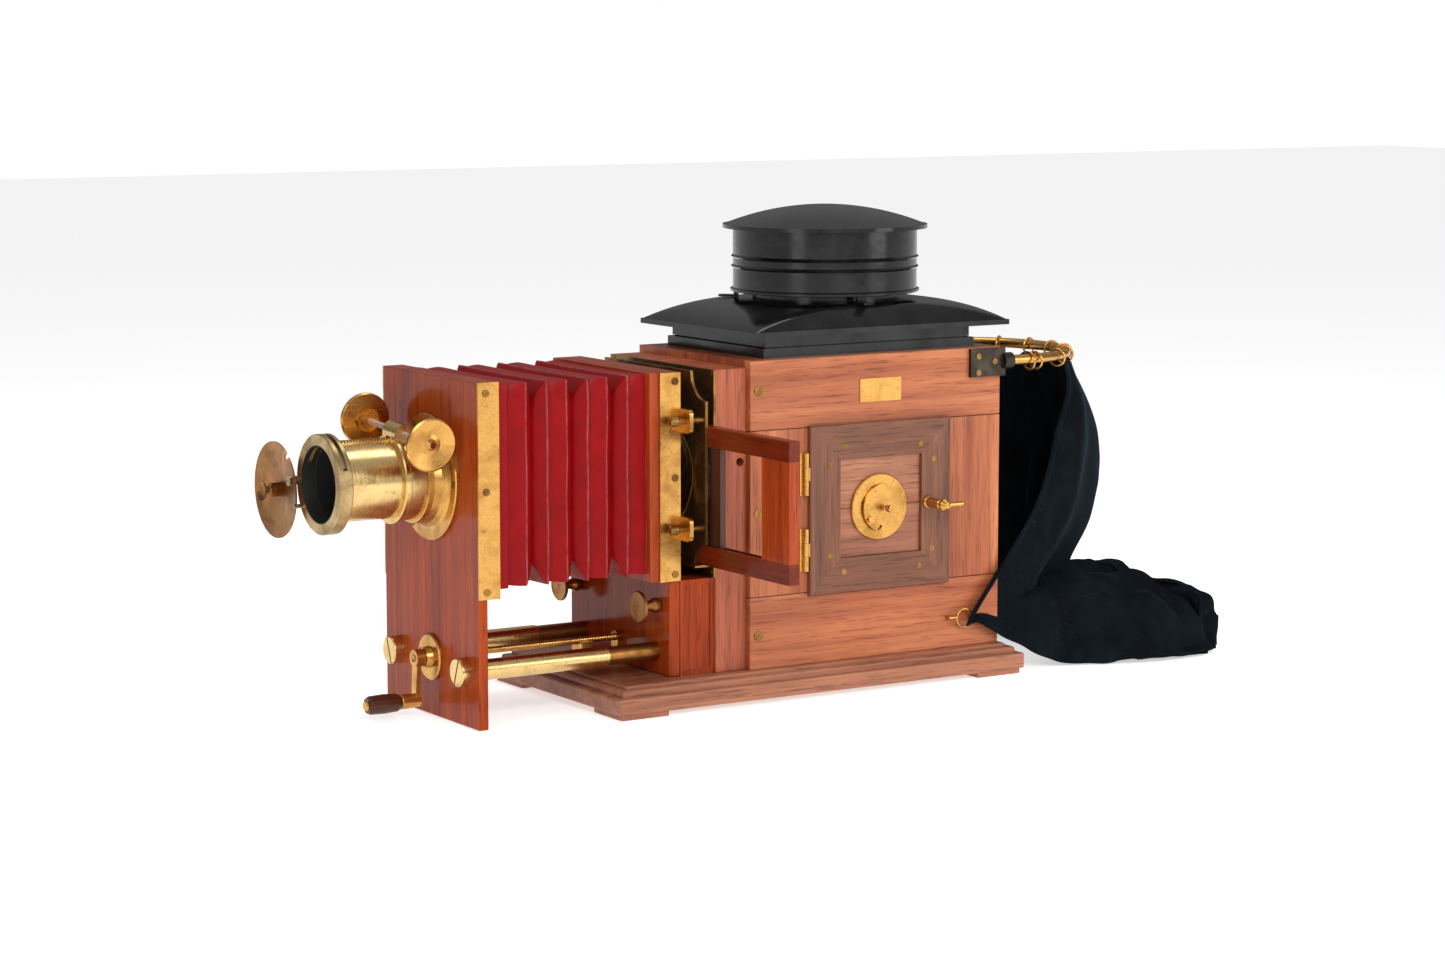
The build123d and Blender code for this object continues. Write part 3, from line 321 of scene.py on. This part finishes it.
def velvet(name):
    """Blue-black silk velvet with crushed, lighter streaks in its pile."""
    s = Shader(name)
    crushed = s.noise(s.scaled((1.0, 1.0, 0.35)), 34.0, 4.0, 0.6, 0.8)
    pile = s.noise(s.place, 1500.0, 2.0, 0.8)
    lint = s.noise(s.place, 420.0, 1.0, 0.4)
    colour = s.ramp(crushed, [(0.36, (0.0012, 0.002, 0.0035)), (0.74, (0.0024, 0.0062, 0.0098))])
    specks = s.ramp(lint, [(0.76, (0.0, 0.0, 0.0)), (0.8, (0.03, 0.03, 0.028))])
    colour = s.mix(1.0, colour, specks, "ADD")
    normal = s.bump(pile, 0.5, 0.0006, s.bump(crushed, 0.3, 0.002))
    made = s.finish(colour, s.spread(crushed, 0.95, 0.8), normal, Sheen_Weight=0.13, Sheen_Roughness=0.3)
    s.bsdf.inputs["Sheen Tint"].default_value = (0.04, 0.2, 0.32, 1.0)
    s.bsdf.inputs["Specular IOR Level"].default_value = 0.1
    return made


def glass(name, tint=(0.96, 0.98, 0.95)):
    s = Shader(name)
    smear = s.noise(s.place, 60.0, 5.0, 0.6, 0.6)
    shade = tuple(c * 0.93 for c in tint)
    colour = s.ramp(smear, [(0.35, shade), (0.65, tint)])
    return s.finish(colour, s.spread(smear, 0.01, 0.07), None, Transmission_Weight=1.0, IOR=1.52)


def photographic(name):
    """The grey positive on a lantern slide."""
    s = Shader(name)
    tone = s.noise(s.place, 30.0, 6.0, 0.6, 0.5)
    colour = s.ramp(tone, [(0.3, (0.05, 0.04, 0.03)), (0.7, (0.5, 0.47, 0.42))])
    return s.finish(colour, s.spread(tone, 0.05, 0.12), None, Transmission_Weight=0.6, IOR=1.5)


# ---- painting the CAD nodes --------------------------------------------------------------------
def paint(material, *names):
    for name in names:
        slots = NODES[name].material_slots
        for slot in slots:
            slot.link = "OBJECT"
            slot.material = material


def band_of(node, axis, margin):
    """The two limits of a node along an axis, drawn in by a margin."""
    low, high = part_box(node)
    return low[axis] + margin, high[axis] - margin


def paint_wood():
    joints = (FLOOR_Z + 0.0818, FLOOR_Z + 0.2126)
    paint(wood("mahogany_side", MAHOGANY, "x", between(*joints, 2), extra=seams(joints)), "side_near")
    paint(wood("mahogany_long", MAHOGANY, "x"), "side_far", "body_top")
    paint(wood("mahogany_box", OILED, "z"), "front_wall", "condenser_box")
    paint(wood("mahogany_panel", VARNISHED, "z", gloss=0.2, shine=0.1), "front_panel", "tube_board")
    rails = beyond(*band_of("rear_bellows_frame", 1, 0.02), 1)
    paint(wood("mahogany_frame", VARNISHED, "y", rails, shine=0.2),
          "rear_bellows_frame", "front_bellows_frame")
    paint(wood("mahogany_plinth", FADED, "x"), "plinth", "plinth_feet")
    gap = band_of("carrier_frame", 2, 0.0155)
    dark_rails = darker_outside(*gap, 2, (0.5, 0.42, 0.5))
    paint(wood("carrier_wood", VARNISHED, "y", between(*gap, 2), extra=dark_rails, shine=0.2),
          "carrier_frame")
    paint(wood("dark_wood", DARK_WOOD, "z"), "slide_holder")
    paint(wood("turned_grip", DARK_WOOD, "x", gloss=0.2), "crank_grip")
    low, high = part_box("door_frame")
    middle = [(a + b) / 2 for a, b in zip(low, high)]
    paint(wood("walnut_frame", WALNUT, "x", mitred(middle)), "door_frame")
    paint(wood("door_panel", FADED, "x", extra=seams([middle[2]])), "door_panel")


def paint_metal():
    warm = brass("brass", (0.62, 0.335, 0.09), (0.37, 0.17, 0.04), 0.44, 0.2)
    bright = brass("brass_lens", (0.74, 0.52, 0.22), (0.56, 0.36, 0.13), 0.4, 0.16, True, inside_tube(0.0284))
    ring = brass("brass_hood", (0.5, 0.36, 0.17), (0.26, 0.16, 0.06), 0.5, 0.24, True, inside_tube(0.0296))
    brown = brass("brass_brown", (0.4, 0.18, 0.05), (0.2, 0.08, 0.02), 0.5, 0.28)
    stained = brass("brass_stained", (0.36, 0.19, 0.05), (0.12, 0.055, 0.016), 0.5, 0.32)
    paint(warm, "burner", "blank_plate", "stage_side_plates", "screw_posts", "curtain_rail", "curtain_rings",
          "panel_edge_strips", "crank_escutcheon", "lens_flange", "crank_arm", "pinion_knobs", "spyhole_ring",
          "spyhole_cover", "door_latch", "door_hinge_plates", "door_hinge_leaves", "pressure_springs")
    paint(bright, "lens_jacket", "drawtube", "sleeve_tubes")
    paint(ring, "hood_ring")
    paint(brown, "flasher_disc", "inner_tubes", "thumb_screw_near", "thumb_screw_far")
    paint(stained, "condenser_plate", "case_screws", "panel_screws", "door_screws", "pressure_plate")
    paint(brass("bronzed", (0.075, 0.06, 0.045), (0.03, 0.026, 0.024), 0.5, 0.4), "rail_brackets")
    paint(iron("steel", (0.34, 0.33, 0.31)), "pinion_shaft")
    paint(iron("sheet_iron"), "heat_lining", "lamp_tray")
    paint(japanned("japan"), "cowl_collar", "cowl_hood", "cowl_drum")
    return warm


def paint_glass():
    paint(glass("clear_glass"), "condenser_lenses", "lens_elements")
    paint(glass("blue_glass", (0.12, 0.25, 0.6)), "spyhole_glass")
    paint(photographic("lantern_slide"), "lantern_slides")


# ---- mesh helpers ------------------------------------------------------------------------------
def mesh_object(name, points, faces, material, smooth=True):
    mesh = bpy.data.meshes.new(name)
    mesh.from_pydata(points, [], faces)
    mesh.update()
    made = bpy.data.objects.new(name, mesh)
    bpy.context.scene.collection.objects.link(made)
    mesh.materials.append(material)
    mesh.polygons.foreach_set("use_smooth", [smooth] * len(mesh.polygons))
    return made


def apply_modifiers(obj):
    """Makes the evaluated mesh the object's own."""
    graph = bpy.context.evaluated_depsgraph_get()
    mesh = bpy.data.meshes.new_from_object(obj.evaluated_get(graph))
    obj.modifiers.clear()
    obj.data = mesh


def grid_faces(rows, columns, closed=False):
    faces = []
    last = columns if closed else columns - 1
    for i in range(rows - 1):
        for j in range(last):
            k = (j + 1) % columns
            faces.append((i * columns + j, i * columns + k, (i + 1) * columns + k, (i + 1) * columns + j))
    return faces


# ---- bellows -----------------------------------------------------------------------------------
PLEATS = 4
GUSSET_SHARE = 1.08
GUSSET_DEPTH = 0.0170
SIDE_DEPTH = 0.0075
STEP_DEPTH = 0.0036
SKIN = 0.001


def bellows_stations(length):
    """(distance from the rear frame, gusset fold 0..1, inset) for each crease, rear to front."""
    band = length / (PLEATS + (PLEATS - 0.45) * GUSSET_SHARE)
    gusset = band * GUSSET_SHARE
    stations = [(0.0, 0.0, 0.001)]
    at = 0.0
    for _ in range(PLEATS):
        at += band
        stations.append((at - 0.0012, 0.0, STEP_DEPTH))
        stations.append((at, 0.0, 0.0))
        stations.append((at + 0.56 * gusset, 1.0, 0.0012))
        at += gusset
        stations.append((at, 0.0, 0.0009))
    return [station for station in stations if station[0] < length - 0.0005]


def bellows_loop(x, fold, inset, low, high):
    """One cross-section: a square ring of points, deep in the top and bottom, shallow in the sides."""
    y = high[1] - 0.0008 - SIDE_DEPTH * fold - inset
    z0 = low[2] + 0.0006 + GUSSET_DEPTH * fold + inset * 0.6
    z1 = high[2] - 0.0006 - GUSSET_DEPTH * fold - inset * 0.6
    steps = 16
    corners = ((-y, z0), (y, z0), (y, z1), (-y, z1))
    loop = []
    for i in range(4):
        (ay, az), (by, bz) = corners[i], corners[(i + 1) % 4]
        for k in range(steps):
            t = k / steps
            sag = 0.0007 * math.sin(math.pi * t) * (1 if fold < 0.5 else -1)
            wave = 0.0009 * noise.noise(Vector((x * 40, i * 3.1, t * 5)))
            droop = sag if az == bz else 0.0
            loop.append(Vector((x + wave, ay + (by - ay) * t, az + (bz - az) * t - droop)))
    return loop


def make_bellows():
    low, high = BELLOWS
    loops, wear = [], []
    stations = bellows_stations(high[0] - low[0])
    for (d0, f0, i0), (d1, f1, i1) in zip(stations, stations[1:]):
        for t in (0.0, 0.05, 0.35, 0.65, 0.95):
            puff = 0.0006 * math.sin(math.pi * t)
            inset = i0 + (i1 - i0) * t - (puff if i0 + i1 > 0.0012 else 0.0)
            loops.append(bellows_loop(high[0] - (d0 + (d1 - d0) * t), f0 + (f1 - f0) * t, inset, low, high))
            wear.append(1.0 if t == 0.0 else 0.0)
    loops.append(bellows_loop(low[0] + 0.0008, stations[-1][1], stations[-1][2], low, high))
    wear.append(0.0)
    columns = len(loops[0])
    points = [tuple(point) for loop in loops for point in loop]
    made = mesh_object("bellows_skin", points, grid_faces(len(loops), columns, True), leather("red_leather"))
    attribute = made.data.attributes.new("wear", "FLOAT", "POINT")
    attribute.data.foreach_set("value", [w for w in wear for _ in range(columns)])
    skin = made.modifiers.new("skin", "SOLIDIFY")
    skin.thickness = SKIN
    skin.offset = -1
    bevel = made.modifiers.new("folds", "BEVEL")
    bevel.width = 0.0004
    bevel.segments = 2
    bevel.angle_limit = math.radians(14)
    apply_modifiers(made)
    made.data.set_sharp_from_angle(angle=math.radians(32))
    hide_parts("bellows")
    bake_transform(made)


# ---- lead screw --------------------------------------------------------------------------------
# distances of the collar and of the thread from the screw's front end
COLLAR_FROM, COLLAR_TO, COLLAR_RISE = 0.0244, 0.0285, 0.0026
THREAD_FROM = 0.0295


def make_screw(material):
    """The lead screw with its two-start thread cut in the mesh."""
    low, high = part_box("lead_screw")
    centre_z = (low[2] + high[2]) / 2
    radius, depth, pitch, starts = 0.0029, 0.0006, 0.002, 2
    thread_start = low[0] + THREAD_FROM
    around, step = 20, 0.00036
    count = int((high[0] - low[0]) / step)
    points = []
    for i in range(count + 1):
        x = low[0] + (high[0] - low[0]) * i / count
        for j in range(around):
            angle = 2 * math.pi * j / around
            phase = (x / pitch - starts * angle / (2 * math.pi)) % 1.0
            cut = depth * (1 - abs(2 * phase - 1)) if x > thread_start else 0.0
            collar = COLLAR_RISE if low[0] + COLLAR_FROM < x < low[0] + COLLAR_TO else 0.0
            r = radius - cut + collar
            points.append((x, r * math.cos(angle), centre_z + r * math.sin(angle)))
    faces = grid_faces(count + 1, around, True)
    faces.append(tuple(range(around)))
    faces.append(tuple(reversed(range(count * around, (count + 1) * around))))
    made = mesh_object("threaded_screw", points, faces, material)
    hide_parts("lead_screw")
    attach(made, "screw")


# ---- leaf springs ------------------------------------------------------------------------------
def make_springs(material):
    """The two bowed leaves behind the pressure plate, with plain ends."""
    low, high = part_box("pressure_springs")
    width, thick, steps, across = 0.008, 0.0005, 40, 5
    middle, reach = (low[2] + high[2]) / 2, (high[2] - low[2]) / 2
    bow = high[0] - low[0] - thick
    points, faces = [], []
    for y0 in (low[1], high[1] - width):
        first = len(points)
        for i in range(steps + 1):
            t = 2 * i / steps - 1
            x, z = high[0] - bow * t * t, middle + reach * t
            for j in range(across):
                k = j / (across - 1)
                points.append((x - 0.25 * thick * math.sin(math.pi * k), y0 + width * k, z))
        faces += [tuple(first + corner for corner in face) for face in grid_faces(steps + 1, across)]
    made = mesh_object("leaf_springs", points, faces, material)
    leaf = made.modifiers.new("leaf", "SOLIDIFY")
    leaf.thickness = thick
    leaf.offset = 1 if made.data.polygons[0].normal.x < 0 else -1
    apply_modifiers(made)
    made.data.set_sharp_from_angle(angle=math.radians(40))
    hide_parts("pressure_springs")
    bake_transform(made)


# ---- curtain -----------------------------------------------------------------------------------
COLUMNS, ROWS = 150, 130
RAIL_RADIUS = 0.0042
NEAR_ANGLE, FAR_ANGLE = math.radians(-56), math.radians(88)
TIE = Vector((HOUSE[1][0] - 0.035, RINGS[0][1] + 0.001, FLOOR_Z + 0.0488))
HEM_CORNER = Vector((0.236, -0.093, FLOOR_Z + 0.004))


def rail_facts():
    """Centre and radius of the rail's bow, and the height of its centre line."""
    radius = (RAIL[1][1] - RAIL[0][1]) / 2 - RAIL_RADIUS
    centre_x = RAIL[1][0] - RAIL_RADIUS - radius
    return centre_x, radius, (RAIL[0][2] + RAIL[1][2]) / 2


def smooth(t):
    """An eased step from 0 to 1."""
    t = min(max(t, 0.0), 1.0)
    return t * t * (3 - 2 * t)


def along(stops, t):
    """A smooth path through points, at 0..1."""
    t = min(max(t, 0.0), 1.0) * (len(stops) - 1)
    i = min(int(t), len(stops) - 2)
    f = t - i
    before, after = stops[max(i - 1, 0)], stops[min(i + 2, len(stops) - 1)]
    a, b = stops[i], stops[i + 1]
    turn_in, turn_out = (b - before) / 2, (after - a) / 2
    return (a * (2 * f ** 3 - 3 * f ** 2 + 1) + turn_in * (f ** 3 - 2 * f ** 2 + f)
            + b * (3 * f ** 2 - 2 * f ** 3) + turn_out * (f ** 3 - f ** 2))


def near_line(top):
    """The near edge: pulled from the bow to the tie ring, then trailing out over the table."""
    return [top, Vector((0.241, -0.080, 0.200)), Vector((0.212, -0.086, 0.130)), TIE,
            TIE.lerp(HEM_CORNER, 0.12), HEM_CORNER, Vector((0.310, -0.121, FLOOR_Z + 0.005)),
            Vector((0.368, -0.118, FLOOR_Z + 0.003))]


def round_line(top, out):
    """The outer folds: straight down from the bow, in at the waist, then out into the heap."""
    waist = Vector((0.250, -0.034, 0.072)) + out * 0.025
    return [top, top + out * 0.018 - Vector((0, 0, 0.075)), top + out * 0.012 - Vector((0.003, 0, 0.135)),
            waist, waist + Vector((0.020, -0.006, 0.000)), Vector((0.318, -0.068, 0.064)) + out * 0.010,
            Vector((0.370, -0.094, 0.036)) + out * 0.006, Vector((0.384, -0.104, FLOOR_Z + 0.003))]


def far_line(top, out):
    """The far side: hanging straight, its hem trailing round on the table."""
    foot = Vector((top.x, top.y, FLOOR_Z + 0.004))
    return [top, top + out * 0.006 - Vector((0, 0, 0.08)), top + out * 0.005 - Vector((0, 0, 0.16)),
            foot + Vector((0, 0, 0.05)), foot + out * 0.008, foot + out * 0.03, foot + out * 0.045,
            foot + out * 0.04]


def curtain_point(u, v):
    """One point of the sheet: u runs round the bow from the near edge, v down the cloth."""
    centre_x, radius, rail_z = rail_facts()
    angle = NEAR_ANGLE + (FAR_ANGLE - NEAR_ANGLE) * u
    out = Vector((math.cos(angle), math.sin(angle), 0.0))
    sag = 0.011 * abs(math.sin(math.pi * u * 4)) * smooth(u * 3 - 0.6)
    top = Vector((centre_x, 0, rail_z - 0.006 - sag)) + out * (radius + 0.003 + 0.009 * smooth(v * 9))
    outer, back = smooth(u / 0.24), smooth((u - 0.42) / 0.4)
    lines = zip(near_line(top), round_line(top, out), far_line(top, out))
    place = along([a.lerp(b, outer).lerp(c, back) for a, b, c in lines], v)
    loose = smooth(u / 0.06)
    pleat = math.sin(u * 58.0 + 1.3 * math.sin(u * 11 + v * 2.5))
    uneven = 1 + 0.4 * noise.noise(Vector((u * 9, v * 3, 1)))
    folds = loose * (0.001 + 0.006 * smooth(v * 3)) * pleat * uneven
    heaped = loose * smooth((v - 0.56) / 0.14) * (1 - smooth((v - 0.9) / 0.1))
    billow = (0.019 * noise.noise(Vector((u * 5.0, v * 6.5, 4.0)))
              + 0.009 * noise.noise(Vector((u * 17, v * 13, 8))))
    lift = max(heaped * billow, -0.012) + 0.0015 * noise.noise(Vector((u * 30, v * 30, 2))) * smooth(v * 4)
    return place + out * folds + Vector((0.3 * lift, -0.5 * lift, lift))


def keep_inside(sheet, low, high):
    """Moves any vertex outside the box low..high to its nearest face."""
    for vertex in sheet.data.vertices:
        for axis in range(3):
            vertex.co[axis] = min(max(vertex.co[axis], low[axis]), high[axis])


def make_curtain():
    """The curtain, shaped in code and clamped to the box of the modelled cloth."""
    points = [curtain_point(j / (COLUMNS - 1), i / (ROWS - 1)) for i in range(ROWS) for j in range(COLUMNS)]
    sheet = mesh_object("velvet_curtain", points, grid_faces(ROWS, COLUMNS), velvet("velvet"))
    low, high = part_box("curtain")
    keep_inside(sheet, (TIE.x - 0.002, low[1] - 0.006, FLOOR_Z + 0.001),
                (high[0] + 0.008, high[1] + 0.006, 1))
    fine = sheet.modifiers.new("fine", "SUBSURF")
    fine.levels = fine.render_levels = 1
    pile = sheet.modifiers.new("pile", "SOLIDIFY")
    pile.thickness = 0.0012
    apply_modifiers(sheet)
    sheet.data.polygons.foreach_set("use_smooth", [True] * len(sheet.data.polygons))
    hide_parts("curtain")
    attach(sheet, "house")


# ---- light and camera --------------------------------------------------------------------------
def softbox(name, place, target, size, power, colour=(1, 1, 1)):
    lamp = bpy.data.lights.new(name, "AREA")
    lamp.shape = "RECTANGLE"
    lamp.size, lamp.size_y = size
    lamp.energy = power
    lamp.color = colour
    made = bpy.data.objects.new(name, lamp)
    bpy.context.scene.collection.objects.link(made)
    made.location = place
    made.rotation_euler = (Vector(target) - Vector(place)).to_track_quat("-Z", "Y").to_euler()


def studio():
    scene = bpy.context.scene
    world = bpy.data.worlds.new("studio")
    scene.world = world
    world.use_nodes = True
    nodes, links = world.node_tree.nodes, world.node_tree.links
    room = nodes["Background"]
    ways = nodes.new("ShaderNodeSeparateXYZ")
    links.new(nodes.new("ShaderNodeTexCoord").outputs["Generated"], ways.inputs[0])
    ramp = nodes.new("ShaderNodeValToRGB")
    links.new(ways.outputs["Z"], ramp.inputs["Fac"])
    for element, (at, grey) in zip(ramp.color_ramp.elements, ((0.05, 0.16), (0.9, 0.62))):
        element.position = at
        element.color = (grey, grey, grey, 1)
    links.new(ramp.outputs["Color"], room.inputs["Color"])
    room.inputs["Strength"].default_value = 0.8
    seen = nodes.new("ShaderNodeBackground")
    seen.inputs["Color"].default_value = (1, 1, 1, 1)
    choose = nodes.new("ShaderNodeMixShader")
    links.new(nodes.new("ShaderNodeLightPath").outputs["Is Camera Ray"], choose.inputs["Fac"])
    links.new(room.outputs[0], choose.inputs[1])
    links.new(seen.outputs[0], choose.inputs[2])
    links.new(choose.outputs[0], nodes["World Output"].inputs["Surface"])
    target = (0, 0, 0.16)
    softbox("key", (-0.5, -2.3, 1.3), target, (1.2, 1.0), 34)
    softbox("front", (1.4, -1.9, 0.8), target, (1.0, 1.2), 15)
    softbox("left", (-2.0, -0.9, 0.9), target, (0.7, 1.5), 8)
    softbox("top", (0.1, 0.3, 2.2), target, (1.6, 0.8), 14)
    scene.view_settings.view_transform = "Standard"


def floor():
    points = [(-9, -6, FLOOR_Z), (9, -6, FLOOR_Z), (9, 9, FLOOR_Z), (-9, 9, FLOOR_Z)]
    s = Shader("floor")
    fine = s.noise(s.place, 300.0, 2.0)
    tone = s.ramp(fine, [(0.3, (0.86, 0.86, 0.86)), (0.7, (0.88, 0.88, 0.88))])
    white = s.finish(tone, 0.95, None, Emission_Color=(1, 1, 1, 1), Emission_Strength=0.55)
    s.bsdf.inputs["Specular IOR Level"].default_value = 0.0
    mesh_object("floor", points, [(0, 1, 2, 3)], white)


def camera():
    data = bpy.data.cameras.new("camera")
    data.lens = 86.75
    data.sensor_width = 36.0
    data.clip_end = 30.0
    made = bpy.data.objects.new("camera", data)
    bpy.context.scene.collection.objects.link(made)
    turn, tilt = math.radians(-32.11), math.radians(7.44)
    back = Vector((math.sin(turn) * math.cos(tilt), -math.cos(turn) * math.cos(tilt), math.sin(tilt)))
    made.location = (-1.50546, -2.3423, 0.52191)
    made.rotation_euler = (-back).to_track_quat("-Z", "Y").to_euler()
    bpy.context.scene.camera = made


# ---- scene -------------------------------------------------------------------------------------
camera()
studio()
floor()
paint_wood()
paint_glass()
brass_material = paint_metal()
make_bellows()
make_screw(brass_material)
make_springs(brass_material)
make_curtain()
